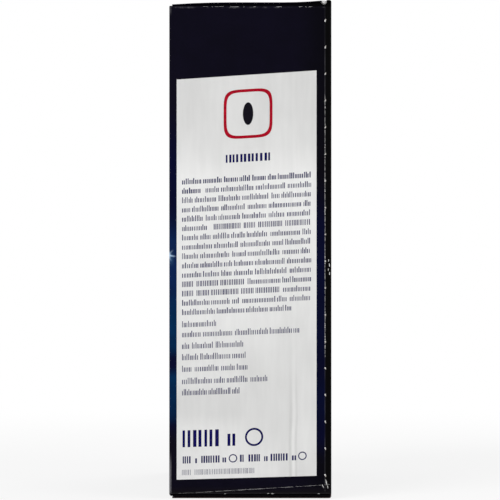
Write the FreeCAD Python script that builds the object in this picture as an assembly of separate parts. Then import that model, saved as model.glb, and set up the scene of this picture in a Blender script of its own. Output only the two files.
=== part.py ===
"""Sealed folding carton of dishwasher tablets: one folded and glued blank of coated boxboard.

Millimetres, +Z up, the origin on the floor under the middle of the box. The narrow panel with the
printed information field faces -Y, so X runs across it and Y runs into the depth of the box.
The box is full and glued at both ends, so it is one closed solid with the true outer form of the
board: bowed panels, rounded folds, the lapped glue seam, and the stacked flaps at top and bottom.
"""
import FreeCAD, Part
import math
import os

# Driving sizes of the folded box
panel_width = 78.0  # between the folds of the narrow panel, along X
box_depth = 150.0  # between the folds of the broad panel, along Y
box_height = 240.0  # from the floor to the hinge of the outer top flap
board = 0.5  # thickness of the board
fold_radius = 1.1  # outer radius of the upright folds
broad_bow = 0.6  # how far the contents push each broad panel out
narrow_bow = 0.5  # how far the contents push each narrow panel out

# Top closure: the inner flap hinges on the -X panel, the outer one on the +X panel, over it
top_crease_radius = 1.0  # where each narrow panel turns in over the end
top_spring = 1.0  # how far the outer flap springs up across its middle
top_edge_gap = 0.15  # air under the corners of its free edge
top_hinge_rise = 1.2  # how much higher its hinge stands than its middle
top_hinge_run = 22.0  # over what length it climbs to the hinge
top_spring_run = 29.0  # over what length it comes down to its free edge

# Bottom closure, pressed flat by the weight on it
bottom_crease_radius = 2.6
flap_gap = 0.55  # air between one flap and the next at the ends of the stack
flap_inset = 0.7  # how far the ends of the flaps stand back from the creases of the narrow panels
inner_flap_step = 0.4  # how much further back the inner flap stands than the outer one
free_edge_setback = 0.3  # from the end of a fold to the free edge of the flap above or below it
gap_reach = 3.0  # how deep the open gaps between flaps run before the glue

# Glue seam: the narrow front panel laps the glue tab, which comes round the fold from +X
seam_setback = 3.0  # from the corner to the cut edge of the front panel
nick_pitch = 12.9  # from one torn nick to the next, where the blank was held in its sheet
nick_length = 0.8
nick_reach = 0.35  # how far a nick stands out of the cut edge
nick_inset = 0.1  # how far it lies under the printed face
first_nick = 11.0  # height of the lowest nick

# Torn place above the seam, where it meets the outer top flap
tear_width = 3.2
tear_height = 2.4
tear_reach = 4.5  # how far the tear runs back into the flap
tear_setback = 4.0  # from the corner of the box to the middle of the tear

# Worked out from the driving sizes
half_width = panel_width / 2
half_depth = box_depth / 2
underside = 2 * (board + flap_gap)  # height of the dust flaps at the bottom
outer_flap_rise = top_edge_gap + top_spring + top_hinge_rise
top_side = box_height - 2 * board - outer_flap_rise  # height of the dust flaps at the top
inner_flap_top = top_side + board
top_flap_end = half_depth - top_crease_radius - flap_inset
bottom_flap_end = half_depth - bottom_crease_radius - flap_inset
inner_fold_radius = board + flap_gap
free_edge = half_width - inner_fold_radius - free_edge_setback
seam_x = half_width - seam_setback
BEYOND = 1.0  # how far a cutting shape runs past the face it opens


def line(start, end):
    return Part.LineSegment(start, end).toShape()


def quarter(start, end, centre):
    """A quarter-round fold from start to end about centre."""
    radius = (start - centre).Length
    halfway = (start - centre) + (end - centre)
    return Part.Arc(start, centre + halfway.normalize() * radius, end).toShape()


def level_outline(height):
    """The straight sides, the round folds and the lapped seam of the box at one height."""
    x, y, r = half_width, half_depth, fold_radius
    tab_y = board - y

    def at(px, py):
        return FreeCAD.Vector(px, py, height)

    panels = [
        line(at(r - x, -y), at(seam_x, -y)),
        line(at(x, tab_y + r), at(x, y - r)),
        line(at(x - r, y), at(r - x, y)),
        line(at(-x, y - r), at(-x, r - y)),
    ]
    folds = [
        line(at(seam_x, -y), at(seam_x, tab_y)),
        line(at(seam_x, tab_y), at(x - r, tab_y)),
        quarter(at(x - r, tab_y), at(x, tab_y + r), at(x - r, tab_y + r)),
        quarter(at(x, y - r), at(x - r, y), at(x - r, y - r)),
        quarter(at(r - x, y), at(-x, y - r), at(r - x, y - r)),
        quarter(at(-x, r - y), at(r - x, -y), at(r - x, r - y)),
    ]
    return panels, folds


def bowed_panel(edge, outward, bow, height):
    """A panel on four straight creases whose middle stands out by bow."""
    start, end = edge.firstVertex().Point, edge.lastVertex().Point
    patch = Part.BezierSurface()
    patch.increase(2, 2)
    for across in range(3):
        foot = start + (end - start) * (across / 2)
        for up in range(3):
            pole = foot + FreeCAD.Vector(0, 0, height * up / 2)
            if across == 1 and up == 1:
                pole += outward * (4 * bow)
            patch.setPole(across + 1, up + 1, pole)
    return patch.toShape()


def bowed_sleeve():
    """The four panels, the folds between them and the glue tab, closed at both creases."""
    height = top_side - underside
    panels, folds = level_outline(underside)
    outward = [(0, -1, narrow_bow), (1, 0, broad_bow), (0, 1, narrow_bow), (-1, 0, broad_bow)]
    faces = [
        bowed_panel(edge, FreeCAD.Vector(px, py, 0), bow, height)
        for edge, (px, py, bow) in zip(panels, outward)
    ]
    faces += [edge.extrude(FreeCAD.Vector(0, 0, height)) for edge in folds]
    for level in (underside, top_side):
        level_panels, level_folds = level_outline(level)
        faces.append(Part.Face(Part.Wire(Part.sortEdges(level_panels + level_folds)[0])))
    shell = Part.makeShell(faces)
    shell.sewShape()
    solid = Part.Solid(shell)
    solid.fix(1e-6, 1e-6, 1e-6)
    return solid


def crease_cut(end, height, radius, up):
    """What comes off a sharp edge along X so that the panel at end turns in with a round crease."""
    length = panel_width + 2 * (broad_bow + BEYOND)
    centre_y = math.copysign(half_depth - radius, end)
    centre_z = height - up * radius
    low_y = min(centre_y, centre_y + end * (radius + BEYOND))
    low_z = min(centre_z, centre_z + up * (radius + BEYOND))
    corner = FreeCAD.Vector(-length / 2, low_y, low_z)
    waste = Part.makeBox(length, radius + BEYOND, radius + BEYOND, corner)
    axis_start = FreeCAD.Vector(-length / 2 - BEYOND, centre_y, centre_z)
    round_crease = Part.makeCylinder(radius, length + 2 * BEYOND, axis_start, FreeCAD.Vector(1, 0, 0))
    return waste.cut(round_crease)


def at_front(x, z):
    """A point of a flap profile, drawn in the XZ plane."""
    return FreeCAD.Vector(x, 0, z)


def eased(level_end, other_end):
    """A shallow arc that leaves level_end level and climbs or falls to other_end."""
    across = other_end - level_end
    middle = level_end + FreeCAD.Vector(across.x / 2, 0, across.z / 4)
    return Part.Arc(level_end, middle, other_end).toShape()


def extruded(edges, low_y, high_y):
    """The closed profile run along Y between two places."""
    face = Part.Face(Part.Wire(Part.sortEdges(edges)[0]))
    face.translate(FreeCAD.Vector(0, low_y, 0))
    return face.extrude(FreeCAD.Vector(0, high_y - low_y, 0))


def both_ends(shape_between, low, high):
    """The same cut at the -Y end and at the +Y end, between two distances from the middle."""
    return [shape_between(-high, -low), shape_between(low, high)]


def outer_flap_line(drop, corner_radius, wall_x):
    """The sprung outer top flap from its free edge to its hinge: its top, or drop below it."""
    free = at_front(-free_edge, inner_flap_top + top_edge_gap + board - drop)
    middle_height = free.z + top_spring
    climbed = at_front(top_spring_run - free_edge, middle_height)
    hinge_foot = at_front(half_width - fold_radius - top_hinge_run, middle_height)
    hinge = at_front(wall_x - corner_radius, middle_height + top_hinge_rise)
    wall = at_front(wall_x, hinge.z - corner_radius)
    centre = at_front(hinge.x, wall.z)
    edges = [
        eased(climbed, free),
        line(climbed, hinge_foot),
        eased(hinge_foot, hinge),
        quarter(hinge, wall, centre),
    ]
    return edges, free, wall


def top_flaps():
    """The glued stack on the top: the inner flap flat, the outer one sprung up towards its hinge."""
    edges, free, wall = outer_flap_line(0, fold_radius, half_width)
    foot = at_front(half_width, top_side)
    start = at_front(-half_width, top_side)
    folded = at_front(board - half_width, inner_flap_top)
    stack = edges + [
        line(wall, foot),
        line(foot, start),
        quarter(start, folded, at_front(board - half_width, top_side)),
        line(folded, at_front(-free_edge, inner_flap_top)),
        line(at_front(-free_edge, inner_flap_top), free),
    ]
    return extruded(stack, -top_flap_end, top_flap_end)


def top_gaps():
    """The open gap under the outer flap at each end of the stack, and the inner flap's step back."""
    edges, free, wall = outer_flap_line(board, fold_radius - board, half_width - board)
    corner = at_front(half_width - board, inner_flap_top)
    outside = at_front(-free_edge - free_edge_setback, inner_flap_top)
    mouth = at_front(outside.x, free.z)
    gap = edges + [line(wall, corner), line(corner, outside), line(outside, mouth), line(mouth, free)]

    def gap_between(low_y, high_y):
        return extruded(gap, low_y, high_y)

    def step_between(low_y, high_y):
        start = FreeCAD.Vector(board - half_width, low_y, top_side)
        return Part.makeBox(panel_width - 2 * board, high_y - low_y, board, start)

    cuts = both_ends(gap_between, top_flap_end - gap_reach, top_flap_end + BEYOND)
    return cuts + both_ends(step_between, top_flap_end - inner_flap_step, top_flap_end + BEYOND)


def bottom_flaps():
    """The glued stack under the box: the outer flap flat on the floor, the inner one above it."""
    inner_under = board + flap_gap
    free_low = at_front(-free_edge, 0)
    free_high = at_front(-free_edge, inner_under)
    inner_fold = at_front(inner_fold_radius - half_width, inner_under)
    inner_top = at_front(-half_width, underside)
    outer_top = at_front(half_width, underside)
    outer_wall = at_front(half_width, fold_radius)
    outer_low = at_front(half_width - fold_radius, 0)
    stack = [
        line(free_low, free_high),
        line(free_high, inner_fold),
        quarter(inner_fold, inner_top, at_front(inner_fold.x, underside)),
        line(inner_top, outer_top),
        line(outer_top, outer_wall),
        quarter(outer_wall, outer_low, at_front(outer_low.x, fold_radius)),
        line(outer_low, free_low),
    ]
    return extruded(stack, -bottom_flap_end, bottom_flap_end)


def bottom_gaps():
    """The gaps between outer flap, inner flap and dust flap, open at both ends and at -X."""
    inner_under = board + flap_gap
    end = bottom_flap_end

    def outer_gap(low_y, high_y):
        start = FreeCAD.Vector(-half_width, low_y, board)
        return Part.makeBox(panel_width - board, high_y - low_y, flap_gap, start)

    def dust_gap(low_y, high_y):
        start = FreeCAD.Vector(board - half_width, low_y, inner_under + board)
        return Part.makeBox(panel_width - 2 * board, high_y - low_y, flap_gap, start)

    def inner_step(low_y, high_y):
        start = FreeCAD.Vector(board - half_width, low_y, inner_under)
        return Part.makeBox(panel_width - 2 * board, high_y - low_y, board, start)

    cuts = both_ends(outer_gap, end - gap_reach, end + BEYOND)
    cuts += both_ends(dust_gap, end - gap_reach, end + BEYOND)
    cuts += both_ends(inner_step, end - inner_flap_step, end + BEYOND)
    side_start = FreeCAD.Vector(-half_width, -end, board)
    side_gap = Part.makeBox(half_width - free_edge + gap_reach, 2 * end, flap_gap, side_start)
    return cuts + [side_gap]


def nicks():
    """The torn nicks that stand out of the cut edge of the front panel, one above another."""
    count = int((top_side - top_crease_radius - first_nick - nick_length) / nick_pitch) + 1
    tags = []
    for number in range(count):
        low = first_nick + number * nick_pitch - nick_length / 2
        corner = FreeCAD.Vector(seam_x - nick_reach, nick_inset - half_depth, low)
        tags.append(Part.makeBox(2 * nick_reach, board, nick_length, corner))
    return tags


def corner_tear():
    """The notch torn into the front end of the outer top flap, above the seam."""
    middle_x = half_width - tear_setback
    top = box_height + BEYOND
    half_top = tear_width / 2 * (tear_height + BEYOND) / tear_height
    left = at_front(middle_x - half_top, top)
    right = at_front(middle_x + half_top, top)
    bottom = at_front(middle_x + tear_width / 4, box_height - tear_height)
    front = -half_depth - narrow_bow
    back = tear_reach - top_flap_end
    return extruded([line(left, right), line(right, bottom), line(bottom, left)], front, back)


def carton():
    solid = bowed_sleeve()
    for end in (-1, 1):
        solid = solid.cut(crease_cut(end, top_side, top_crease_radius, 1))
        solid = solid.cut(crease_cut(end, underside, bottom_crease_radius, -1))
    solid = solid.fuse([top_flaps(), bottom_flaps()] + nicks())
    solid = solid.cut(top_gaps() + bottom_gaps() + [corner_tear()])
    return solid.removeSplitter()


os.makedirs("parts", exist_ok=True)
shape = carton()
box = shape.optimalBoundingBox(False)
print("solids", len(shape.Solids), "valid", shape.isValid(), "volume cm3", round(shape.Volume / 1000, 1))
print("box", [round(v, 2) for v in (box.XMin, box.XMax, box.YMin, box.YMax, box.ZMin, box.ZMax)])
shape.exportStep("parts/carton.step")
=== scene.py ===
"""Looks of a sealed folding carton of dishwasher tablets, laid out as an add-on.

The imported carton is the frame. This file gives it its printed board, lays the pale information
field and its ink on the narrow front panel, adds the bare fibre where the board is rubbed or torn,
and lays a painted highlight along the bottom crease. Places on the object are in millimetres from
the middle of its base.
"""

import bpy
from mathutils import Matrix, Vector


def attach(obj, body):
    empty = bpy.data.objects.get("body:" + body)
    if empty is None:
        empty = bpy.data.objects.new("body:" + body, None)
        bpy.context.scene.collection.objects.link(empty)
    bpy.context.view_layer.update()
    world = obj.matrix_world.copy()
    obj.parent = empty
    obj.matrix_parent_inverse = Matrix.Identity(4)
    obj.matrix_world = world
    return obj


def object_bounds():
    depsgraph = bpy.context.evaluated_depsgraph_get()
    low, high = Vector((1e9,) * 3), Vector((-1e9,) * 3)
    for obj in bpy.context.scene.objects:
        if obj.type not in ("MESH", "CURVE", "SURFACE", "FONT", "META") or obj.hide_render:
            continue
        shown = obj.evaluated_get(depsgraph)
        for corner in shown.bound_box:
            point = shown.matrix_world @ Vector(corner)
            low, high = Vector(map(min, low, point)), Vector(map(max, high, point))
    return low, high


bl_info = {
    "name": "Dishwasher tablet carton",
    "version": (1, 0, 0),
    "blender": (4, 5, 0),
    "location": "View3D > Sidebar > Carton",
    "description": "Dresses the packed carton with its print, its information field and its wear",
    "category": "Object",
}

import math
import random
from functools import partial

import bmesh
import bpy
from mathutils import Vector
from mathutils.bvhtree import BVHTree

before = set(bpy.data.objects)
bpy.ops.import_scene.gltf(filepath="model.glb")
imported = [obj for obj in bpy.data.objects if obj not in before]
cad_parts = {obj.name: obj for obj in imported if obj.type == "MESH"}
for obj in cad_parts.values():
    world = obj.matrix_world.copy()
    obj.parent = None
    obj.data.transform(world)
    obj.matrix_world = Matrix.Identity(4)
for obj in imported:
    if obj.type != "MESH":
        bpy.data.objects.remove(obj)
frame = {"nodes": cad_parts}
CAD_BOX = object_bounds()
CARTON = frame["nodes"]["carton"]
MM = 0.001
SURFACE = BVHTree.FromPolygons(
    [CARTON.matrix_world @ vert.co for vert in CARTON.data.vertices],
    [tuple(face.vertices) for face in CARTON.data.polygons],
)

# The carton's own sizes, as the frame gives them
HALF_WIDTH = 39.0  # to the upright folds of the narrow panel
HALF_DEPTH = 75.0
BOARD = 0.5
FOLD_RADIUS = 1.1
SEAM_X = 36.0  # the cut edge of the narrow panel, which laps the glue tab
UNDERSIDE = 2.1
TOP_SIDE = 236.65
BOTTOM_CREASE_RADIUS = 2.6
TOP_CREASE_RADIUS = 1.0
HEIGHT = CAD_BOX[1].z / MM

# Films of print and fibre lie this far off the board
FIELD_LIFT = 0.03
INK_LIFT = 0.05
FIBRE_LIFT = 0.04
FILM = 0.02

TALL = 1.42  # how much taller a tall stroke of ink is
# The line over the bottom crease is a painted highlight, at this height and slope
CREASE_HIGHLIGHT = 4.58  # height of the cracked line over the bottom crease, at the middle of the panel
CREASE_HIGHLIGHT_SLOPE = 0.06

SEED = 5373

# Settings that many nodes share: a range with soft ends, and a mix of two colours
SMOOTH = {"interpolation_type": "SMOOTHSTEP"}
COLOUR = {"data_type": "RGBA", "out": 2}


def linear(code):
    """An sRGB hex colour as the linear RGBA that shaders take."""
    parts = [int(code[place:place + 2], 16) / 255 for place in (1, 3, 5)]
    curve = (c / 12.92 if c <= 0.04045 else ((c + 0.055) / 1.055) ** 2.4 for c in parts)
    return tuple(curve) + (1.0,)


def colour_setting(name, code, about):
    return bpy.props.FloatVectorProperty(
        name=name, description=about, subtype="COLOR", size=4, min=0, max=1, default=linear(code)
    )


def length_setting(name, size_mm, about):
    return bpy.props.FloatProperty(
        name=name, description=about, default=size_mm * MM, unit="LENGTH", subtype="DISTANCE",
        precision=5,
    )


class CartonBoardSettings(bpy.types.PropertyGroup):
    """Print of the board itself."""

    night: colour_setting("Night", "#080614", "Near-black of the upper part of the box")
    plain: colour_setting("Plain black", "#040305", "Black of the glue tab and the unprinted panels")
    navy: colour_setting("Navy", "#030526", "Deep navy of the lower part of the print")
    glow: colour_setting("Glow", "#081f4a", "Blue of the printed glow in its upper part")
    teal: colour_setting("Teal", "#00284e", "Greener blue in the lower part of the glow")
    ribbon: colour_setting("Ribbon", "#5c93c0", "Pale ribbon of light across the glow")
    glint: colour_setting("Glint", "#b9d6f4", "Small printed star of light on the left front fold")
    # Grey of rubbed coating, also used for a painted highlight along the bottom crease and a painted
    # sheen on the left front fold
    rub_and_highlight: colour_setting("Rubbed edge", "#636267", "Rubbed creases and corners")
    # Painted light: the lighter dark grey that lifts the print at the foot, round the bottom crease
    painted_foot_light: colour_setting("Scuffed foot", "#100c12", "Dusty print along the bottom crease")
    bare_board: colour_setting("Bare board", "#c9c4bd", "Cut board along the seam and its nicks")
    flap_end: colour_setting("Flap end", "#4c3d3f", "Cut ends of the bottom flaps, browned by dirt")
    glow_low: length_setting("Glow's foot", 34, "Height at which the glow begins on the front fold")
    glow_high: length_setting("Glow's head", 144, "Height at which the glow ends on the front fold")


class CartonFieldSettings(bpy.types.PropertyGroup):
    """The pale printed information field on the narrow panel."""

    paper: colour_setting("Field", "#dcdcdb", "Off-white of the field")
    left: length_setting("Left edge", -35.4, "Left edge, from the middle of the panel")
    right: length_setting("Right edge", 31.8, "Right edge, from the middle of the panel")
    bottom_left: length_setting("Bottom left", 9.2, "Height of the lower left corner")
    bottom_right: length_setting("Bottom right", 11.1, "Height of the lower right corner")
    top_left: length_setting("Top left", 201.5, "Height of the upper left corner")
    top_right: length_setting("Top right", 205.9, "Height of the upper right corner")


class CartonInkSettings(bpy.types.PropertyGroup):
    """Ink on the information field."""

    ink: colour_setting("Ink", "#100d4a", "Dark blue ink of the lines")
    frame: colour_setting("Frame", "#98081f", "Red ink of the ornament's frame")
    line_pitch: length_setting("Line pitch", 4.48, "From one line of small print to the next")


class CartonWearSettings(bpy.types.PropertyGroup):
    """Rubbed and torn board."""

    fibre: colour_setting("Fibre", "#e4e3e2", "Bare board fibre")
    nick_pitch: length_setting("Nick pitch", 12.9, "From one torn nick of the seam to the next")
    first_nick: length_setting("First nick", 11.0, "Height of the lowest nick")


class CartonStageSettings(bpy.types.PropertyGroup):
    """Camera, lamps and floor."""

    distance: length_setting("Distance", 1200, "From the camera to the narrow panel")
    aim_height: length_setting("Aim", 119.6, "Height that the camera looks at")


def add_node(tree, kind, *inputs, sockets=None, out=0, **settings):
    """Adds a node with its settings and links, and returns its output `out`.

    An input is a value, or the output that it is linked to. The first ones go in order, those in
    `sockets` by name or number.
    """
    node = tree.nodes.new("ShaderNode" + kind)
    for name, value in settings.items():
        setattr(node, name, value)
    for socket, value in [*enumerate(inputs), *(sockets or {}).items()]:
        if isinstance(value, bpy.types.NodeSocket):
            tree.links.new(value, node.inputs[socket])
        else:
            node.inputs[socket].default_value = value
    return node.outputs[out] if len(node.outputs) else None


def new_material(name):
    """An empty material, and add_node for its tree."""
    material = bpy.data.materials.new(name)
    material.use_nodes = True
    material.node_tree.nodes.clear()
    return material, partial(add_node, material.node_tree)


def printed_board(settings):
    """Coated folding boxboard, offset printed near-black navy under a satin varnish.

    The varnish gives a soft sheen at a slant and next to none head on. The print glows blue low on
    the broad -X panel, wraps a little round the fold and dies away towards the back. The varnish
    has the faint waviness of board that is pressed out by what it holds.
    """
    material, node = new_material("coated_boxboard_printed")
    place = node("TexCoord", out="Object")
    x, y, z = node("SeparateXYZ", place).node.outputs

    # Distance round the box from the front left fold, along the narrow panel or along the broad one
    round_box = node(
        "Math", node("Math", x, y, operation="ADD"), (HALF_WIDTH + HALF_DEPTH) * MM, operation="ADD"
    )
    off_left = node("MapRange", x, -(HALF_WIDTH - 0.1) * MM, -(HALF_WIDTH - 0.6) * MM, **SMOOTH)
    # The print ends at the cut edge of the seam: the glue tab and the panels after it are plain
    past_seam = node("MapRange", x, (SEAM_X - 0.01) * MM, (SEAM_X + 0.02) * MM, **SMOOTH)
    on_back = node("MapRange", y, (HALF_DEPTH - 1) * MM, (HALF_DEPTH - 0.3) * MM, **SMOOTH)
    printed = node(
        "Math", 1.0, node("Math", past_seam, on_back, operation="MAXIMUM"), operation="SUBTRACT"
    )

    def share_round(on_narrow, on_broad):
        return node("Mix", off_left, sockets={2: on_broad, 3: on_narrow})

    # Height in the print: it sweeps upwards along the broad panel and wanders a little
    along_broad = node(
        "Math", round_box, node("Math", 1.0, off_left, operation="SUBTRACT"), operation="MULTIPLY"
    )
    sweep = node("Math", along_broad, 0.42, operation="MULTIPLY")
    wander = node(
        "Math",
        node(
            "Math", node("TexNoise", place, sockets={"Scale": 1 / (70 * MM), "Detail": 2.0}),
            0.5, operation="SUBTRACT",
        ),
        14 * MM, operation="MULTIPLY",
    )
    print_z = node("Math", node("Math", z, sweep, operation="SUBTRACT"), wander, operation="ADD")

    # Navy rises from near the floor to two thirds of the height, and less high towards the seam
    along_narrow = node("Math", round_box, off_left, operation="MULTIPLY")
    navy_z = node(
        "Math", print_z, node("Math", along_narrow, 0.48, operation="MULTIPLY"), operation="ADD"
    )
    navy_foot = node(
        "Math", z, node("Math", along_narrow, 0.14, operation="MULTIPLY"), operation="ADD"
    )
    navy_low = node("MapRange", navy_foot, 26 * MM, 42 * MM, **SMOOTH)
    navy_high = node("MapRange", navy_z, 160 * MM, 194 * MM, 1.0, 0.0, **SMOOTH)
    navy = node(
        "Math", node("Math", navy_low, navy_high, operation="MULTIPLY"), printed,
        operation="MULTIPLY",
    )
    black = node("Mix", printed, sockets={6: settings.plain[:], 7: settings.night[:]}, **COLOUR)
    black = node(
        "Mix", 1.0,
        sockets={
            6: black,
            7: node("MapRange", along_narrow, 58 * MM, 74 * MM, 1.0, 0.45, **SMOOTH),
        },
        blend_type="MULTIPLY", **COLOUR,
    )
    deep = node("MapRange", along_narrow, 58 * MM, 72 * MM, 1.0, 0.8, **SMOOTH)
    print_colour = node(
        "Mix", navy,
        sockets={
            6: black,
            7: node(
                "Mix", 1.0, sockets={6: settings.navy[:], 7: deep}, blend_type="MULTIPLY", **COLOUR
            ),
        },
        **COLOUR,
    )

    # The glow lies on the left of the navy, with darker gaps across it
    broad_reach = node("MapRange", round_box, 12 * MM, 128 * MM, 1.0, 0.0, **SMOOTH)
    narrow_reach = node("MapRange", round_box, 1 * MM, 22 * MM, 1.0, 0.03, **SMOOTH)
    reach = node("Math", share_round(narrow_reach, broad_reach), printed, operation="MULTIPLY")
    above = node(
        "MapRange", print_z, settings.glow_high - 18 * MM, settings.glow_high, 1.0, 0.0, **SMOOTH
    )
    below = node("MapRange", print_z, settings.glow_low, settings.glow_low + 10 * MM, **SMOOTH)
    strength = node(
        "Math", node("Math", above, below, operation="MULTIPLY"), reach, operation="MULTIPLY"
    )
    gap_middle = settings.glow_low + 31 * MM
    from_gap = node(
        "Math", node("Math", print_z, gap_middle, operation="SUBTRACT"), operation="ABSOLUTE"
    )
    gap = node("MapRange", from_gap, 1.5 * MM, 9 * MM, 0.0, 1.0, **SMOOTH)
    dips = node(
        "MapRange",
        node(
            "TexNoise", node("Mapping", place, sockets={"Scale": (0.2, 0.2, 1.0)}),
            sockets={"Scale": 1 / (16 * MM), "Detail": 1.0},
        ),
        0.35, 0.6, 0.62, 1.0, **SMOOTH,
    )
    strength = node(
        "Math", node("Math", strength, dips, operation="MULTIPLY"), gap, operation="MULTIPLY"
    )
    upper_part = node("MapRange", print_z, 86 * MM, 106 * MM, **SMOOTH)
    blue = node("Mix", upper_part, sockets={6: settings.teal[:], 7: settings.glow[:]}, **COLOUR)
    print_colour = node("Mix", strength, sockets={6: print_colour, 7: blue}, **COLOUR)

    # One soft ribbon of light crosses the glow and fades before it reaches the back
    ribbon_middle = settings.glow_high - 27.6 * MM
    from_ribbon = node(
        "Math", node("Math", print_z, ribbon_middle, operation="SUBTRACT"), operation="ABSOLUTE"
    )
    ribbon = node("MapRange", from_ribbon, 0.0, 5.4 * MM, 1.0, 0.0, **SMOOTH)
    broad_ribbon = node(
        "Math", node("MapRange", round_box, 0.0, 70 * MM, 1.0, 0.0, **SMOOTH),
        node("MapRange", round_box, 0.6 * MM, 9 * MM, 0.3, 1.0, **SMOOTH),
        operation="MULTIPLY",
    )
    narrow_ribbon = node("MapRange", round_box, 0.6 * MM, 3.0 * MM, 0.3, 0.0, **SMOOTH)
    ribbon = node(
        "Math",
        node("Math", ribbon, share_round(narrow_ribbon, broad_ribbon), operation="MULTIPLY"),
        0.6, operation="MULTIPLY",
    )
    ribbon = node("Math", ribbon, printed, operation="MULTIPLY")
    print_colour = node("Mix", ribbon, sockets={6: print_colour, 7: settings.ribbon[:]}, **COLOUR)
    print_colour = node(
        "Mix", glint(node, x, y, z), sockets={6: print_colour, 7: settings.glint[:]}, **COLOUR
    )

    # Slight unevenness of the solid ink, in patches of some 15 mm
    patch = node(
        "MapRange",
        node("TexNoise", place, sockets={"Scale": 1 / (15 * MM), "Detail": 4.0, "Roughness": 0.6}),
        0.3, 0.7, 0.86, 1.16, **SMOOTH,
    )
    print_colour = node(
        "Mix", 1.0, sockets={6: print_colour, 7: patch}, blend_type="MULTIPLY", **COLOUR
    )

    # Painted light: towards the foot, round the bottom crease, the print is mixed towards a lighter
    # dark grey
    painted_foot_light = node("MapRange", z, 2.6 * MM, 7 * MM, 0.85, 0.0, **SMOOTH)
    print_colour = node(
        "Mix", painted_foot_light, sockets={6: print_colour, 7: settings.painted_foot_light[:]}, **COLOUR
    )

    bare = seam_cut(node, x, y, z)
    print_colour = node(
        "Mix", bare, sockets={6: print_colour, 7: settings.bare_board[:]}, **COLOUR
    )

    # The flaps' ends under the bottom crease are cut board, browned by dirt
    flap_end = node(
        "MapRange", node("Math", y, operation="ABSOLUTE"), 71.5 * MM, 71.69 * MM, **SMOOTH
    )
    flap_end = node(
        "Math", flap_end, node("MapRange", z, 2.05 * MM, 2.1 * MM, 1.0, 0.0, **SMOOTH),
        operation="MULTIPLY",
    )
    print_colour = node(
        "Mix", flap_end, sockets={6: print_colour, 7: settings.flap_end[:]}, **COLOUR
    )

    # Broken grey where the coating is rubbed at the top crease, the corners and the seam; along the
    # bottom crease it is a painted highlight, and on the left front fold a painted sheen too
    rubbed = node(
        "Math", crease_highlight_and_rub(node, place, x, y, z),
        node("Math", 1.0, past_seam, operation="SUBTRACT"), operation="MULTIPLY",
    )
    rubbed = node("Math", rubbed, fold_sheen_and_rub(node, place, x, y, z), operation="MAXIMUM")
    rubbed = node("Math", rubbed, seam_rub(node, place, x, y), operation="MAXIMUM")
    print_colour = node(
        "Mix", rubbed, sockets={6: print_colour, 7: settings.rub_and_highlight[:]}, **COLOUR
    )

    # the grain of the coating, drawn coarser than it is
    fine = node(
        "TexNoise", place, sockets={"Scale": 1 / (1.6 * MM), "Detail": 3.0, "Roughness": 0.6}
    )
    rough = node("MapRange", fine, 0.3, 0.7, 0.3, 0.42, **SMOOTH)
    rough = node("Math", rough, node("Math", rubbed, 0.3, operation="MULTIPLY"), operation="ADD")
    waves = node("TexNoise", place, sockets={"Scale": 1 / (34 * MM), "Detail": 2.0})
    height = node(
        "Math", node("Math", waves, 0.00045, operation="MULTIPLY"),
        node("Math", fine, 0.000006, operation="MULTIPLY"), operation="ADD",
    )
    bump = node("Bump", sockets={"Strength": 0.6, "Distance": 1.0, "Height": height})
    surface = {
        "Base Color": print_colour, "Roughness": rough, "Normal": bump,
        "IOR": 1.5, "Specular IOR Level": 0.035,
    }
    node("OutputMaterial", node("BsdfPrincipled", sockets=surface))
    return material


def glint(node, x, y, z):
    """A small printed star of light, whose middle lies just round the left front fold."""
    middle_round, middle_z = 1.0, 117.1
    # Distance round the fold: nought on it, more along the narrow panel, less along the broad one
    round_fold = node(
        "Math", node("Math", x, y, operation="SUBTRACT"), (HALF_DEPTH - HALF_WIDTH) * MM,
        operation="SUBTRACT",
    )
    across = node("Math", round_fold, middle_round * MM, operation="ADD")
    up = node("Math", z, middle_z * MM, operation="SUBTRACT")
    squares = node(
        "Math", node("Math", across, across, operation="MULTIPLY"),
        node("Math", up, up, operation="MULTIPLY"), operation="ADD",
    )
    away = node("Math", squares, operation="SQRT")
    star = node("MapRange", away, 0.6 * MM, 2.4 * MM, 0.9, 0.0, **SMOOTH)
    # Rays: angle, how strong, how far
    for angle, strength, reach in ((-8, 0.9, 4.9), (40, 0.42, 4.4), (-54, 0.5, 3.8)):
        turn = math.radians(angle)
        off = node(
            "Math", node("Math", across, math.sin(turn), operation="MULTIPLY"),
            node("Math", up, math.cos(turn), operation="MULTIPLY"), operation="SUBTRACT",
        )
        ray = node(
            "MapRange", node("Math", off, operation="ABSOLUTE"), 0.1 * MM, 0.6 * MM, strength,
            0.0, **SMOOTH,
        )
        fade = node("MapRange", away, 1.0 * MM, reach * MM, 1.0, 0.0, **SMOOTH)
        star = node(
            "Math", star, node("Math", ray, fade, operation="MULTIPLY"), operation="MAXIMUM"
        )
    # That distance comes to nought on the +X panel too, so only the left side keeps the star
    on_left = node("MapRange", x, -30 * MM, -25 * MM, 1.0, 0.0, **SMOOTH)
    return node("Math", star, on_left, operation="MULTIPLY")


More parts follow.
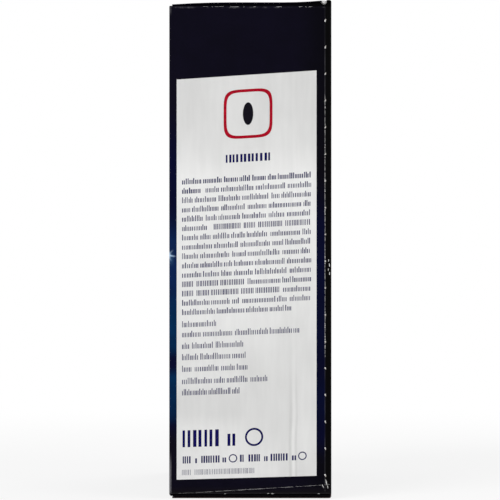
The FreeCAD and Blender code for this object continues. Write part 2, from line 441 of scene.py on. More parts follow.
def crease_highlight_and_rub(node, place, x, y, z):
    """A painted highlight line along the narrow panels' bottom crease, and cracked coating along
    their top crease and on the flaps' ends.
    """
    broken = node(
        "MapRange",
        node(
            "TexNoise", node("Mapping", place, sockets={"Scale": (1.0, 1.0, 0.2)}),
            sockets={"Scale": 1 / (5.5 * MM), "Detail": 4.0, "Roughness": 0.7},
        ),
        0.5, 0.66, **SMOOTH,
    )
    ends = node(
        "MapRange", node("Math", y, operation="ABSOLUTE"), (HALF_DEPTH - 1.6) * MM,
        (HALF_DEPTH - 0.9) * MM, **SMOOTH,
    )
    low_crease = node(
        "Math", node("Math", x, CREASE_HIGHLIGHT_SLOPE, operation="MULTIPLY"), CREASE_HIGHLIGHT * MM,
        operation="ADD",
    )
    high_crease = (TOP_SIDE - TOP_CREASE_RADIUS * 0.5) * MM
    from_low = node(
        "Math", node("Math", z, low_crease, operation="SUBTRACT"), operation="ABSOLUTE"
    )
    from_high = node(
        "Math", node("Math", z, high_crease, operation="SUBTRACT"), operation="ABSOLUTE"
    )
    # Along the bottom crease this is a painted highlight; along the top crease it is cracked coating
    low = node("MapRange", from_low, 0.1 * MM, 0.5 * MM, 0.6, 0.0, **SMOOTH)
    high = node("MapRange", from_high, 0.1 * MM, 0.6 * MM, 0.5, 0.0, **SMOOTH)
    creases = node(
        "Math", node("Math", low, high, operation="MAXIMUM"), ends, operation="MULTIPLY"
    )
    return node("Math", creases, broken, operation="MULTIPLY", use_clamp=True)


def fold_sheen_and_rub(node, place, x, y, z):
    """A painted sheen, with some rubbing, in grey on the left front fold: low down and at its head.
    """
    out = node(
        "Math", node("Math", x, -1.0, operation="MULTIPLY"),
        (HALF_WIDTH - FOLD_RADIUS * 0.75) * MM, operation="SUBTRACT",
    )
    on_fold = node("MapRange", out, -0.5 * MM, 0.2 * MM, **SMOOTH)
    front = node(
        "MapRange", y, -(HALF_DEPTH - 0.9) * MM, -(HALF_DEPTH - 1.3) * MM, 1.0, 0.0, **SMOOTH
    )
    low = node("MapRange", z, 15 * MM, 24 * MM, 1.0, 0.0, **SMOOTH)
    high = node("MapRange", z, (TOP_SIDE - 5) * MM, (TOP_SIDE - 1) * MM, **SMOOTH)
    uneven = node(
        "MapRange",
        node("TexNoise", place, sockets={"Scale": 1 / (4 * MM), "Detail": 3.0, "Roughness": 0.6}),
        0.3, 0.6, 0.5, 1.0, **SMOOTH,
    )
    ends = node("Math", low, node("Math", high, 0.5, operation="MULTIPLY"), operation="MAXIMUM")
    corner = node(
        "Math", node("Math", on_fold, front, operation="MULTIPLY"), ends, operation="MULTIPLY"
    )
    return node("Math", corner, uneven, operation="MULTIPLY", use_clamp=True)


def seam_cut(node, x, y, z):
    """The cut edge of the narrow panel, which faces +X, and the torn nicks that stand out of it."""
    s = bpy.context.scene.carton_wear
    off_edge = node(
        "Math", node("Math", x, SEAM_X * MM, operation="SUBTRACT"), operation="ABSOLUTE"
    )
    edge = node("MapRange", off_edge, 0.002 * MM, 0.004 * MM, 1.0, 0.0, **SMOOTH)
    behind_face = node(
        "MapRange", y, -(HALF_DEPTH - 0.01) * MM, -(HALF_DEPTH - 0.03) * MM, **SMOOTH
    )
    before_tab = node(
        "MapRange", y, -(HALF_DEPTH - BOARD + 0.01) * MM, -(HALF_DEPTH - BOARD) * MM, 1.0,
        0.0, **SMOOTH,
    )
    # Height above or below the nearest nick
    turns = node(
        "Math", node("Math", z, s.first_nick - s.nick_pitch / 2, operation="SUBTRACT"),
        s.nick_pitch, operation="DIVIDE",
    )
    from_nick = node(
        "Math",
        node("Math", node("Math", turns, operation="FRACT"), 0.5, operation="SUBTRACT"),
        operation="ABSOLUTE",
    )
    level = node(
        "MapRange", from_nick, 0.45 * MM / s.nick_pitch, 0.47 * MM / s.nick_pitch, 1.0, 0.0,
        **SMOOTH,
    )
    past_edge = node("MapRange", x, SEAM_X * MM, (SEAM_X + 0.01) * MM, **SMOOTH)
    near_edge = node("MapRange", x, (SEAM_X + 0.36) * MM, (SEAM_X + 0.38) * MM, 1.0, 0.0, **SMOOTH)
    nick = node(
        "Math", node("Math", past_edge, near_edge, operation="MULTIPLY"), level,
        operation="MULTIPLY",
    )
    band = node("Math", behind_face, before_tab, operation="MULTIPLY")
    return node(
        "Math", node("Math", edge, nick, operation="MAXIMUM"), band, operation="MULTIPLY",
        use_clamp=True,
    )


def seam_rub(node, place, x, y):
    """A faint grey line where the print's edge is rubbed along the seam."""
    near = node("MapRange", x, (SEAM_X - 0.4) * MM, (SEAM_X - 0.15) * MM, **SMOOTH)
    short = node("MapRange", x, (SEAM_X - 0.01) * MM, (SEAM_X + 0.01) * MM, 1.0, 0.0, **SMOOTH)
    front = node(
        "MapRange", y, -(HALF_DEPTH - 0.4) * MM, -(HALF_DEPTH - 0.6) * MM, 1.0, 0.0, **SMOOTH
    )
    broken = node(
        "MapRange",
        node(
            "TexNoise", node("Mapping", place, sockets={"Scale": (1.0, 1.0, 0.5)}),
            sockets={"Scale": 1 / (7 * MM), "Detail": 3.0, "Roughness": 0.6},
        ),
        0.35, 0.65, 0.1, 0.5, **SMOOTH,
    )
    line = node(
        "Math", node("Math", near, short, operation="MULTIPLY"), front, operation="MULTIPLY"
    )
    return node("Math", line, broken, operation="MULTIPLY", use_clamp=True)


def field_paper(settings):
    """Off-white printed field: the board's white coating under a matt varnish.

    Painted light and shade make it a little brighter across the middle and greyer low down, on top
    of the uneven light from its own waviness. Soft upright wrinkles near its right edge low down,
    where the board is creased by handling, carry painted shade and a painted highlight.
    """
    material, node = new_material("white_coated_board_matt")
    place = node("TexCoord", out="Object")
    x, _, z = node("SeparateXYZ", place).node.outputs
    blotch = node(
        "MapRange",
        node(
            "TexNoise", node("Mapping", place, sockets={"Scale": (1.0, 1.0, 0.45)}),
            sockets={"Scale": 1 / (22 * MM), "Detail": 3.0, "Roughness": 0.55},
        ),
        0.3, 0.7, 0.95, 1.045, **SMOOTH,
    )
    fibres = node(
        "MapRange",
        node(
            "TexNoise", node("Mapping", place, sockets={"Scale": (1.0, 1.0, 0.12)}),
            sockets={"Scale": 1 / (2.2 * MM), "Detail": 2.0},
        ),
        0.3, 0.7, 0.985, 1.015, **SMOOTH,
    )
    tone = node("Math", blotch, fibres, operation="MULTIPLY")
    # Painted light and shade: a little brighter across the middle and at the lower left, greyer low
    # down to the right
    bright = node(
        "Math", node("MapRange", z, 70 * MM, 105 * MM, **SMOOTH),
        node("MapRange", z, 150 * MM, 172 * MM, 1.0, 0.0, **SMOOTH), operation="MULTIPLY",
    )
    lower_left = node(
        "Math", node("MapRange", x, -18 * MM, 2 * MM, 1.0, 0.0, **SMOOTH),
        node("MapRange", z, 70 * MM, 105 * MM, 1.0, 0.0, **SMOOTH), operation="MULTIPLY",
    )
    from_dull = node("Math", node("Math", z, 45 * MM, operation="SUBTRACT"), operation="ABSOLUTE")
    dull_right = node(
        "Math", node("MapRange", from_dull, 8 * MM, 32 * MM, 1.0, 0.0, **SMOOTH),
        node(
            "Math", node("MapRange", x, -12 * MM, 4 * MM, **SMOOTH),
            node("MapRange", x, 20 * MM, 26 * MM, 1.0, 0.0, **SMOOTH), operation="MULTIPLY",
        ),
        operation="MULTIPLY",
    )
    dull_left = node(
        "Math", node("MapRange", from_dull, 3 * MM, 12 * MM, 1.0, 0.0, **SMOOTH),
        node("MapRange", x, -12 * MM, 4 * MM, 1.0, 0.0, **SMOOTH), operation="MULTIPLY",
    )
    lift = node(
        "Math", node("Math", bright, 0.12, operation="MULTIPLY"),
        node("Math", lower_left, 0.08, operation="MULTIPLY"), operation="ADD",
    )
    fall = node(
        "Math", node("Math", dull_right, 0.07, operation="MULTIPLY"),
        node("Math", dull_left, 0.1, operation="MULTIPLY"), operation="ADD",
    )
    shade = node("Math", lift, fall, operation="SUBTRACT")
    tone = node("Math", tone, node("Math", shade, 1.0, operation="ADD"), operation="MULTIPLY")
    # Painted a shade darker towards the top
    tone = node(
        "Math", tone, node("MapRange", z, 150 * MM, 190 * MM, 1.0, 0.975, **SMOOTH),
        operation="MULTIPLY",
    )

    # Wrinkles: painted shade in a dark furrow and a painted highlight on a pale ridge beside it,
    # strongest near the bottom
    wrinkle_x = 19.5 * MM
    wobble = node(
        "Math",
        node(
            "Math", node("TexNoise", place, sockets={"Scale": 1 / (30 * MM), "Detail": 1.0}),
            0.5, operation="SUBTRACT",
        ),
        2.2 * MM, operation="MULTIPLY",
    )
    beside = node(
        "Math", node("Math", x, wrinkle_x, operation="SUBTRACT"), wobble, operation="ADD"
    )
    furrow = node(
        "MapRange", node("Math", beside, operation="ABSOLUTE"), 0.1 * MM, 1.1 * MM, 1.0,
        0.0, **SMOOTH,
    )
    second = node(
        "Math", node("Math", beside, 2.9 * MM, operation="SUBTRACT"), operation="ABSOLUTE"
    )
    second_furrow = node("MapRange", second, 0.1 * MM, 0.8 * MM, 0.7, 0.0, **SMOOTH)
    from_ridge = node(
        "Math", node("Math", beside, 1.5 * MM, operation="SUBTRACT"), operation="ABSOLUTE"
    )
    ridge = node("MapRange", from_ridge, 0.2 * MM, 1.0 * MM, 0.8, 0.0, **SMOOTH)
    low_down = node("MapRange", z, 30 * MM, 75 * MM, 1.0, 0.12, **SMOOTH)
    relief = node(
        "Math", ridge, node("Math", furrow, second_furrow, operation="MAXIMUM"),
        operation="SUBTRACT",
    )
    relief = node("Math", relief, low_down, operation="MULTIPLY")
    tone = node(
        "Math", tone,
        node("Math", 1.0, node("Math", relief, 0.11, operation="MULTIPLY"), operation="ADD"),
        operation="MULTIPLY",
    )
    colour = node(
        "Mix", 1.0, sockets={6: settings.paper[:], 7: tone}, blend_type="MULTIPLY", **COLOUR
    )
    waves = node(
        "TexNoise", node("Mapping", place, sockets={"Scale": (1.0, 1.0, 0.6)}),
        sockets={"Scale": 1 / (26 * MM), "Detail": 2.0},
    )
    height = node(
        "Math", node("Math", waves, 0.0003, operation="MULTIPLY"),
        node("Math", relief, 0.00008, operation="MULTIPLY"), operation="ADD",
    )
    bump = node("Bump", sockets={"Strength": 0.6, "Distance": 1.0, "Height": height})
    surface = {
        "Base Color": colour, "Roughness": 0.6, "Normal": bump,
        "IOR": 1.5, "Specular IOR Level": 0.2,
    }
    node("OutputMaterial", node("BsdfPrincipled", sockets=surface))
    return material


def offset_ink(name, colour):
    """Offset ink on the coating: flat, a little patchy where it thins, as matt as the field."""
    material, node = new_material(name)
    place = node("TexCoord", out="Object")
    specks = node("TexNoise", place, sockets={"Scale": 1 / (0.9 * MM), "Detail": 2.0})
    thin = node("MapRange", specks, 0.35, 0.8, 1.0, 1.5, **SMOOTH)
    tone = node("Mix", 1.0, sockets={6: colour[:], 7: thin}, blend_type="MULTIPLY", **COLOUR)
    surface = {"Base Color": tone, "Roughness": 0.55, "IOR": 1.5, "Specular IOR Level": 0.04}
    node("OutputMaterial", node("BsdfPrincipled", sockets=surface))
    return material


def bare_fibre(settings):
    """Torn and rubbed boxboard: matt pale fibre, with grey where dirt has settled in it."""
    material, node = new_material("bare_board_fibre")
    place = node("TexCoord", out="Object")
    specks = node(
        "TexNoise", place, sockets={"Scale": 1 / (1.2 * MM), "Detail": 3.0, "Roughness": 0.6}
    )
    dirt = node("MapRange", specks, 0.3, 0.65, 0.68, 1.0, **SMOOTH)
    tone = node(
        "Mix", 1.0, sockets={6: settings.fibre[:], 7: dirt}, blend_type="MULTIPLY", **COLOUR
    )
    surface = {"Base Color": tone, "Roughness": 0.9, "IOR": 1.5, "Specular IOR Level": 0.1}
    node("OutputMaterial", node("BsdfPrincipled", sockets=surface))
    return material


def on_panel(x, z, lift):
    """A point lift off the bowed narrow panel, in metres, from millimetres across and up."""
    before = Vector((x, -HALF_DEPTH - 20, z)) * MM
    point = SURFACE.ray_cast(before, Vector((0, 1, 0)))[0]
    return Vector((point.x, point.y - lift * MM, point.z))


def on_field(x, z, lift):
    """A point on the field: z is its height at the left edge, and rows slant as its edges do."""
    s = bpy.context.scene.carton_field
    across = (x * MM - s.left) / (s.right - s.left)
    up = (z * MM - s.bottom_left) / (s.top_left - s.bottom_left)
    rise_low = s.bottom_right - s.bottom_left
    rise_high = s.top_right - s.top_left
    rise = (rise_low + (rise_high - rise_low) * up) * across
    return on_panel(x, z + rise / MM, lift)


def on_seam(x, z, lift):
    """A point at the narrow panel's cut edge, level with the panel on both sides of the edge."""
    return Vector((x, -HALF_DEPTH - lift, z)) * MM


def on_tab(x, z, lift):
    """A point on the glue tab and on the round fold that it comes round, by its distance across."""
    past = max(x - (HALF_WIDTH - FOLD_RADIUS), 0.0)
    turn = past / FOLD_RADIUS
    out = FOLD_RADIUS + lift
    y = FOLD_RADIUS + BOARD - HALF_DEPTH - out * math.cos(turn)
    return Vector((x - past + out * math.sin(turn), y, z)) * MM


def laid(bm, verts, place):
    """Moves flat vertices to where place puts their x and y."""
    for vert in verts:
        vert.co = place(vert.co.x, vert.co.y)


def finish_piece(name, bm, material, film=FILM):
    """Makes the piece from its mesh, gives it its film's thickness and lets it ride on the box."""
    bm.normal_update()
    if film:
        bmesh.ops.solidify(bm, geom=bm.faces[:], thickness=film * MM)
    mesh = bpy.data.meshes.new(name)
    bm.to_mesh(mesh)
    bm.free()
    mesh.shade_smooth()
    mesh.set_sharp_from_angle(angle=math.radians(30))
    mesh.materials.append(material)
    piece = bpy.data.objects.new(name, mesh)
    bpy.context.scene.collection.objects.link(piece)
    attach(piece, "root")
    return piece


class CARTON_OT_board(bpy.types.Operator):
    """Gives the carton its printed board"""

    bl_idname = "carton.board"
    bl_label = "Printed board"

    def execute(self, context):
        material = printed_board(context.scene.carton_board)
        CARTON.data.materials.clear()
        CARTON.data.materials.append(material)
        return {"FINISHED"}


class CARTON_OT_field(bpy.types.Operator):
    """Lays the pale information field on the narrow panel"""

    bl_idname = "carton.field"
    bl_label = "Information field"

    def execute(self, context):
        s = context.scene.carton_field
        bm = bmesh.new()
        bm.from_mesh(CARTON.data)
        elsewhere = [face for face in bm.faces if not self.is_front(face)]
        bmesh.ops.delete(bm, geom=elsewhere, context="FACES")
        corners = [Vector((x, 0, z)) for x, z in (
            (s.left, s.bottom_left), (s.right, s.bottom_right),
            (s.right, s.top_right), (s.left, s.top_left),
        )]
        for start, end in zip(corners, corners[1:] + corners[:1]):
            outwards = (end - start).cross(Vector((0, -1, 0)))
            bmesh.ops.bisect_plane(
                bm, geom=bm.verts[:] + bm.edges[:] + bm.faces[:], plane_co=start, plane_no=outwards,
                clear_outer=True,
            )
        for vert in bm.verts:
            vert.co.y -= FIELD_LIFT * MM
        finish_piece("information_field", bm, field_paper(s))
        return {"FINISHED"}

    def is_front(self, face):
        middle = face.calc_center_median()
        return face.normal.y < -0.98 and middle.y < -(HALF_DEPTH - 0.3) * MM


def stroke(bm, x, z, width, height):
    """One upright or level ink stroke whose lower left corner is at x, z."""
    made = bmesh.ops.create_grid(bm, x_segments=1, y_segments=1, size=0.5)
    laid(
        bm, made["verts"],
        lambda u, v: on_field(x + (u + 0.5) * width, z + (v + 0.5) * height, INK_LIFT),
    )


def row_of_strokes(bm, x, z, room, style, rng):
    """Fills room with plain upright strokes from x on, some of them taller or bolder."""
    start = x
    while True:
        width = style["pen"] * rng.uniform(0.85, 1.3)
        if start + width > x + room + 0.01:
            return
        tall = rng.random() < style["tall"]
        stroke(bm, start, z, width, style["height"] * (TALL if tall else 1.0))
        start += width + style["gap"] * rng.uniform(0.7, 1.4)


def line_of_groups(bm, left, right, z, style, rng):
    """Fills a line with groups of strokes, justified: spare room goes to the last groups."""
    step, space = style["step"], style["step"] * 0.64
    rooms = []
    while sum(rooms) + space * len(rooms) < right - left:
        rooms.append(step * rng.randint(3, 12))
    spare = sum(rooms) + space * (len(rooms) - 1) - (right - left)
    rooms[-1] -= spare
    if rooms[-1] < step * 2:
        last = rooms.pop()
        rooms[-1] += last + space
    start = left
    for room in rooms:
        row_of_strokes(bm, start, z, room, style, rng)
        start += room + space


def ring(bm, x, z, width, height, pen, roundness=1.0, segments=48):
    """A flat ring of ink round a point of the field; a lower roundness makes it squarer."""
    edges = []
    for across, up in ((width / 2, height / 2), (width / 2 - pen, height / 2 - pen)):
        made = bmesh.ops.create_circle(bm, segments=segments, radius=1)
        for vert in made["verts"]:
            vert.co.x = math.copysign(abs(vert.co.x) ** roundness, vert.co.x) * across
            vert.co.y = math.copysign(abs(vert.co.y) ** roundness, vert.co.y) * up
        edges += list({edge for vert in made["verts"] for edge in vert.link_edges})
    bridged = bmesh.ops.bridge_loops(bm, edges=edges)
    if bridged["faces"][0].normal.z < 0:
        bmesh.ops.reverse_faces(bm, faces=bridged["faces"])
    verts = list({vert for face in bridged["faces"] for vert in face.verts})
    laid(bm, verts, lambda u, v: on_field(x + u, z + v, INK_LIFT))


class CARTON_OT_lines(bpy.types.Operator):
    """Prints the lines of the information field as rows of plain strokes"""

    bl_idname = "carton.lines"
    bl_label = "Lines of ink"

    def execute(self, context):
        s = context.scene.carton_ink
        rng = random.Random(SEED)
        left, right = -32.8, 29.2
        first_line = 150.9
        ink = offset_ink("dark_blue_offset_ink", s.ink)
        small = dict(height=1.95, pen=0.36, gap=0.4, tall=0.2, step=1.32)
        bold = dict(small, pen=0.46, gap=0.34)
        high = dict(small, height=2.65, tall=0.0, step=1.5)

        bm = bmesh.new()
        row_of_strokes(bm, -11.8, 160.1, 21.6, dict(height=3.8, pen=0.95, gap=0.75, tall=0.0), rng)
        finish_piece("ink_heading", bm, ink)

        bm = bmesh.new()
        line_count = 15
        for number in range(line_count):
            z = first_line - number * s.line_pitch / MM
            start = left
            if number == 0:
                line_of_groups(bm, left, right, z, bold, rng)
                continue
            if number == 1:
                row_of_strokes(bm, left, z, 9.4, bold, rng)
                start = left + 11.3
            elif number == 5:
                row_of_strokes(bm, left, z, 12.6, small, rng)
                line_of_groups(bm, left + 15.2, right, z, high, rng)
                continue
            elif number in (11, 12):
                reach = (30.0, 47.0)[number - 11]
                line_of_groups(bm, left, left + reach, z, high, rng)
                start = left + reach + 1.5
            end = right - 9.5 if number == line_count - 1 else right
            line_of_groups(bm, start, end, z, small, rng)
        finish_piece("ink_small_lines", bm, ink)

        bm = bmesh.new()
        lower = dict(small, height=2.1, pen=0.33, gap=0.42, tall=0.26)
        heights = (82.3, 77.5, 71.9, 66.5, 60.9, 55.0, 49.6)
        lengths = (16.9, 57.0, 29.5, 31.0, 31.9, 41.0, 27.6)
        for z, length in zip(heights, lengths):
            line_of_groups(bm, left, left + length, z, lower, rng)
        finish_piece("ink_lower_lines", bm, ink)

        # The large line: bold strokes, then a thin ring
        bm = bmesh.new()
        row_of_strokes(bm, -32.6, 24.7, 18.9, dict(height=8.1, pen=1.35, gap=1.15, tall=0.0), rng)
        row_of_strokes(bm, -11.0, 24.7, 4.8, dict(height=5.8, pen=1.25, gap=1.25, tall=0.0), rng)
        finish_piece("ink_large_line", bm, ink)

        bm = bmesh.new()
        ring(bm, 1.8, 28.6, 8.8, 8.7, 0.95)
        ring(bm, -8.35, 18.7, 4.1, 4.0, 0.5)
        ring(bm, 25.0, 18.9, 4.1, 4.0, 0.5)
        finish_piece("ink_thin_rings", bm, ink)

        bm = bmesh.new()
        middle = dict(height=3.4, pen=0.66, gap=0.46, tall=0.0)
        for start, end in ((-32.5, -28.0), (-23.6, -14.4), (-5.0, -2.6), (-0.9, 5.2), (9.7, 19.0)):
            row_of_strokes(bm, start, 16.9, end - start, middle, rng)
        for start in (-26.5, -13.4, 6.6, 20.0):
            row_of_strokes(bm, start, 16.9, 2.0, dict(middle, height=2.3), rng)
        finish_piece("ink_middle_line", bm, ink)

        bm = bmesh.new()
        foot = dict(height=2.6, pen=0.22, gap=0.5, tall=0.0)
        for start, end in ((-32.8, -28.3), (-26.7, 2.5)):
            row_of_strokes(bm, start, 11.3, end - start, foot, rng)
        finish_piece("ink_foot_line", bm, ink)
        return {"FINISHED"}


class CARTON_OT_ornament(bpy.types.Operator):
    """Prints a plain ornament at the head of the field: a red rounded frame round a dark oval"""

    bl_idname = "carton.ornament"
    bl_label = "Ornament"

    def execute(self, context):
        s = context.scene.carton_ink
        middle_x, middle_z = -1.1, 183.0
        side, pen, roundness = 23.5, 1.4, 0.42
        bm = bmesh.new()
        ring(bm, middle_x, middle_z, side, side, pen, roundness, 96)
        finish_piece("ornament_frame", bm, offset_ink("red_offset_ink", s.frame))

        bm = bmesh.new()
        half_width, half_height = 2.5, 5.4
        made = bmesh.ops.create_circle(bm, segments=48, radius=1, cap_ends=True)
        laid(
            bm, made["verts"],
            lambda u, v: on_field(middle_x + u * half_width, middle_z + v * half_height, INK_LIFT),
        )
        black = offset_ink("black_offset_ink", linear("#0d0b14"))
        finish_piece("ornament_oval", bm, black)
        return {"FINISHED"}


def flake(bm, place, length, width, rng, sides=7):
    """A ragged flake; place turns its length and its width into a point on the board."""
    made = bmesh.ops.create_circle(bm, segments=sides, radius=0.5, cap_ends=True)
    for vert in made["verts"]:
        ragged = rng.uniform(0.65, 1.2)
        vert.co.x *= width * ragged
        vert.co.y *= length * rng.uniform(0.85, 1.15)
    laid(bm, made["verts"], place)


class CARTON_OT_seam_wear(bpy.types.Operator):
    """Rubs the cut edge of the seam to a bright broken line, with a tuft of fibre at each nick"""

    bl_idname = "carton.seam_wear"
    bl_label = "Worn seam"

    def execute(self, context):
        s = context.scene.carton_wear
        rng = random.Random(SEED + 1)
        fibre = bare_fibre(s)

        high = TOP_SIDE - TOP_CREASE_RADIUS
        # Rubbed widest between these heights, where hands and shelves touch it
        worn_low, worn_high = 68.0, 194.0
        bm = bmesh.new()
        z = worn_low
        while z < worn_high:
            bead = rng.random() < 0.4
            length = rng.uniform(0.5, 1.1) if bead else rng.uniform(1.2, 4.0)
            width = rng.uniform(0.24, 0.4) if bead else rng.uniform(0.08, 0.16)
            across = SEAM_X - 0.12 + rng.uniform(-0.05, 0.05)
            flake(
                bm, lambda u, v, z=z + length / 2, x=across: on_seam(x + u, z + v, FIBRE_LIFT),
                length, width, rng,
            )
            z += length + rng.uniform(-0.1, 0.5)
        finish_piece("seam_rubbed_line", bm, fibre)

        bm = bmesh.new()
        z = s.first_nick / MM + 0.6
        while z < high - 1:
            worn = worn_low < z < worn_high
            size = rng.uniform(0.6, 0.75) if worn else rng.uniform(0.7, 0.95)
            flake(
                bm, lambda u, v, z=z: on_seam(SEAM_X - 0.1 + u, z + v, FIBRE_LIFT + 0.02),
                size * 1.1, size * 0.75, rng,
            )
            z += s.nick_pitch / MM - 0.07
        finish_piece("seam_nick_tufts", bm, fibre)
        return {"FINISHED"}


class CARTON_OT_crease_wear(bpy.types.Operator):
    """Adds a painted highlight line of pale flakes along the bottom crease, the cracked coating
    along the top crease and the nicks at the lower edge
    """

    bl_idname = "carton.crease_wear"
    bl_label = "Worn creases"

    def execute(self, context):
        s = context.scene.carton_wear
        rng = random.Random(SEED + 2)
        fibre = bare_fibre(s)

        def on_low_crease(x, angle):
            """On the bottom crease; angle 0 is where it leaves the panel and 90 faces down."""
            turn = math.radians(angle)
            out = BOTTOM_CREASE_RADIUS + FIBRE_LIFT
            y = BOTTOM_CREASE_RADIUS - HALF_DEPTH - out * math.cos(turn)
            z = UNDERSIDE + BOTTOM_CREASE_RADIUS - out * math.sin(turn)
            return Vector((x, y, z)) * MM

        def on_high_crease(x, angle):
            """On the top crease; angle 0 is where it leaves the panel and 90 faces up."""
            turn = math.radians(angle)
            out = TOP_CREASE_RADIUS + FIBRE_LIFT
            y = TOP_CREASE_RADIUS - HALF_DEPTH - out * math.cos(turn)
            z = TOP_SIDE - TOP_CREASE_RADIUS + out * math.sin(turn)
            return Vector((x, y, z)) * MM

        low_degrees_per_mm = 180 / math.pi / BOTTOM_CREASE_RADIUS
        high_degrees_per_mm = 57
        # Painted highlight: thin pale flakes along the bottom crease
        bm = bmesh.new()
        x = -34.5
        while x < 33.5:
            length = rng.uniform(3.0, 8.0)
            middle = x + length / 2
            height = CREASE_HIGHLIGHT + CREASE_HIGHLIGHT_SLOPE * middle

            def along_line(u, v, x=middle, z=height):
                return on_panel(x + v, z + u + v * CREASE_HIGHLIGHT_SLOPE, FIBRE_LIFT)

            flake(bm, along_line, length, rng.uniform(0.045, 0.09), rng, 12)
            x += length * rng.uniform(0.85, 1.1)
        finish_piece("bottom_crease_highlight", bm, fibre)

        bm = bmesh.new()
        x = -27.0
        while x < 29.5:
            length = rng.uniform(0.5, 2.8)
            if rng.random() < 0.75:
                turn = 62 + rng.uniform(-8, 8)

                def across_crease(u, v, x=x, turn=turn):
                    return on_high_crease(x + v, turn + u * high_degrees_per_mm)

                flake(bm, across_crease, length, rng.uniform(0.08, 0.26), rng)
            x += length + rng.uniform(0.3, 1.6)
        finish_piece("top_crease_flecks", bm, fibre)

        # Spots knocked off the lower edge: across, turn down the crease, size
        bm = bmesh.new()
        for x, turn, size in ((-12.2, 66, 0.8), (32.9, 62, 0.8), (10.6, 66, 1.2), (8.6, 60, 0.8)):
            flake(
                bm,
                lambda u, v, x=x, turn=turn: on_low_crease(x + v, turn + u * low_degrees_per_mm),
                size * 1.3, size, rng, 9,
            )
        flake(bm, lambda u, v: on_panel(34.8 + u - v * 0.4, 6.2 + v, FIBRE_LIFT), 1.8, 0.3, rng)
        finish_piece("bottom_edge_nicks", bm, fibre)

        # A slanting scrape low on the glue tab, and scuffs half way up its fold: across, height,
        # length, width, slant
        bm = bmesh.new()
        for x, z, length, width, slant in (
            (36.5, 7.9, 3.2, 0.5, -0.26), (37.15, 5.8, 1.6, 0.3, -0.26),
            (37.6, 114.6, 1.3, 0.3, 0.1), (38.0, 112.4, 1.8, 0.42, -0.1),
            (37.5, 110.2, 1.2, 0.3, 0.0), (38.1, 108.3, 1.7, 0.36, 0.1),
        ):
            def slanting(u, v, x=x, z=z, slant=slant):
                return on_tab(x + u + v * slant, z + v, FIBRE_LIFT)

            flake(bm, slanting, length, width, rng)
        finish_piece("tab_scuffs", bm, fibre)
        return {"FINISHED"}


class CARTON_OT_tear(bpy.types.Operator):
    """Fills the notch above the seam with torn fibre"""

    bl_idname = "carton.tear"
    bl_label = "Torn corner"

    def execute(self, context):
        rng = random.Random(SEED + 3)
        bm = bmesh.new()
        # A wedge that widens upwards, ragged all over
        foot_x, head_x, foot_z, head_z, y = 35.6, 35.1, 237.8, 239.9, -71.9
        made = bmesh.ops.create_icosphere(bm, subdivisions=3, radius=1)
        for vert in made["verts"]:
            ragged = 1 + rng.uniform(-0.14, 0.14)
            up = (vert.co.z * ragged + 1) / 2
            vert.co = Vector((
                foot_x + (head_x - foot_x) * up + vert.co.x * ragged * (0.75 + 1.25 * max(up, 0)),
                y + vert.co.y * 1.3 * ragged,
                foot_z + (head_z - foot_z) * up,
            )) * MM
        finish_piece("torn_fibre", bm, bare_fibre(context.scene.carton_wear), film=0)
        return {"FINISHED"}


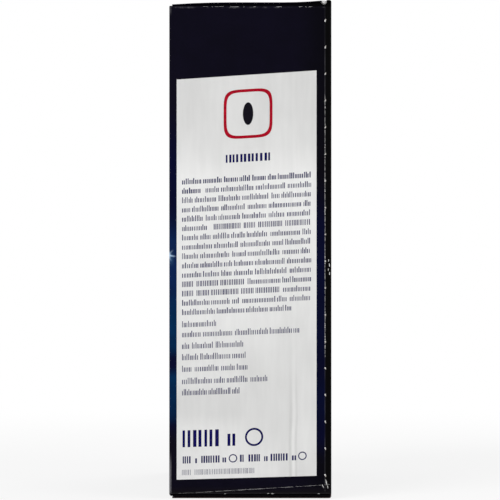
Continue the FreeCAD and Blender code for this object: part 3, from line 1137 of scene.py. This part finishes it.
class CARTON_OT_stage(bpy.types.Operator):
    """Sets the white floor, the soft lamps and the camera at the photograph's viewing angle"""

    bl_idname = "carton.stage"
    bl_label = "Stage"

    def execute(self, context):
        scene = context.scene
        s = scene.carton_stage
        scene.view_settings.view_transform = "Standard"

        world = bpy.data.worlds.new("soft_white_room")
        scene.world = world
        world.use_nodes = True
        world.node_tree.nodes.clear()
        node = partial(add_node, world.node_tree)
        white, room_light, camera_sees = (1, 1, 1, 1), 0.42, 1.0
        room = node("Background", white, room_light)
        seen = node("Background", white, camera_sees)
        node("OutputWorld", node("MixShader", self.in_sight(node), room, seen))

        floor_radius = 0.7
        bm = bmesh.new()
        bmesh.ops.create_circle(bm, segments=96, radius=floor_radius, cap_ends=True)
        mesh = bpy.data.meshes.new("floor")
        bm.to_mesh(mesh)
        bm.free()
        floor = bpy.data.objects.new("floor", mesh)
        scene.collection.objects.link(floor)
        floor.location.z = -0.1 * MM  # just under the box, so that the two don't share a plane
        material, node = new_material("white_floor")
        place = node("TexCoord", out="Object")
        from_middle = node("VectorMath", place, operation="LENGTH", out="Value")
        # The floor keeps the box's shadow and turns to the plain white of the room at its edge
        edge = node("MapRange", from_middle, 0.2, floor_radius * 0.9, 0.8, 1.0, **SMOOTH)
        matt = node("BsdfDiffuse", (0.8, 0.8, 0.8, 1))
        lit = node("Emission", white, camera_sees)
        share = node("Math", self.in_sight(node), edge, operation="MULTIPLY")
        node("OutputMaterial", node("MixShader", share, matt, lit))
        mesh.materials.append(material)

        lamp_side = 1.2
        self.lamp("key", (-1.2, -1.4, 1.6), lamp_side, 29.0)
        self.lamp("fill", (1.5, -1.1, 1.0), lamp_side, 12.5)
        self.lamp("back", (1.0, 1.5, 1.1), lamp_side, 14.0)
        self.camera(scene, s)
        return {"FINISHED"}

    def in_sight(self, node):
        """One for what is seen, mirrored or seen through glass, nought for what only lights."""
        rays = node("LightPath").node.outputs
        mirrored = node(
            "Math", rays["Is Glossy Ray"], rays["Is Transmission Ray"], operation="MAXIMUM"
        )
        return node("Math", rays["Is Camera Ray"], mirrored, operation="MAXIMUM")

    def lamp(self, name, place, side, power):
        light = bpy.data.lights.new(name, "AREA")
        light.size = side
        light.energy = power
        lamp = bpy.data.objects.new(name, light)
        lamp.location = place
        aim = Vector((0, 0, HEIGHT * MM / 2)) - Vector(place)
        lamp.rotation_euler = aim.to_track_quat("-Z", "Y").to_euler()
        bpy.context.scene.collection.objects.link(lamp)

    def camera(self, scene, s):
        picture = 500  # pixels on each side
        pixels_per_mm = 2.081  # on the narrow panel
        data = bpy.data.cameras.new("camera")
        data.sensor_width = 36
        data.lens = data.sensor_width * pixels_per_mm * (s.distance / MM) / picture
        camera = bpy.data.objects.new("camera", data)
        # Square on to the narrow panel
        camera.location = (-0.17 * MM, -HALF_DEPTH * MM - s.distance, s.aim_height)
        camera.rotation_euler = (math.radians(90), 0, 0)
        data.clip_start = 0.01
        data.clip_end = 50
        scene.collection.objects.link(camera)
        scene.camera = camera


class CARTON_PT_panel(bpy.types.Panel):
    """Lists the carton's operators"""

    bl_label = "Carton"
    bl_idname = "CARTON_PT_panel"
    bl_space_type = "VIEW_3D"
    bl_region_type = "UI"
    bl_category = "Carton"

    def draw(self, context):
        for operator in OPERATORS:
            self.layout.operator(operator.bl_idname)


SETTINGS = {
    "carton_board": CartonBoardSettings,
    "carton_field": CartonFieldSettings,
    "carton_ink": CartonInkSettings,
    "carton_wear": CartonWearSettings,
    "carton_stage": CartonStageSettings,
}
OPERATORS = (
    CARTON_OT_board, CARTON_OT_field, CARTON_OT_ornament, CARTON_OT_lines, CARTON_OT_seam_wear,
    CARTON_OT_crease_wear, CARTON_OT_tear, CARTON_OT_stage,
)


def register():
    for name, group in SETTINGS.items():
        bpy.utils.register_class(group)
        setattr(bpy.types.Scene, name, bpy.props.PointerProperty(type=group))
    for operator in OPERATORS:
        bpy.utils.register_class(operator)
    bpy.utils.register_class(CARTON_PT_panel)


def unregister():
    bpy.utils.unregister_class(CARTON_PT_panel)
    for operator in reversed(OPERATORS):
        bpy.utils.unregister_class(operator)
    for name, group in SETTINGS.items():
        delattr(bpy.types.Scene, name)
        bpy.utils.unregister_class(group)


def main():
    register()
    bpy.ops.carton.board()
    bpy.ops.carton.field()
    bpy.ops.carton.ornament()
    bpy.ops.carton.lines()
    bpy.ops.carton.seam_wear()
    bpy.ops.carton.crease_wear()
    bpy.ops.carton.tear()
    bpy.ops.carton.stage()


if __name__ == "__main__":
    main()
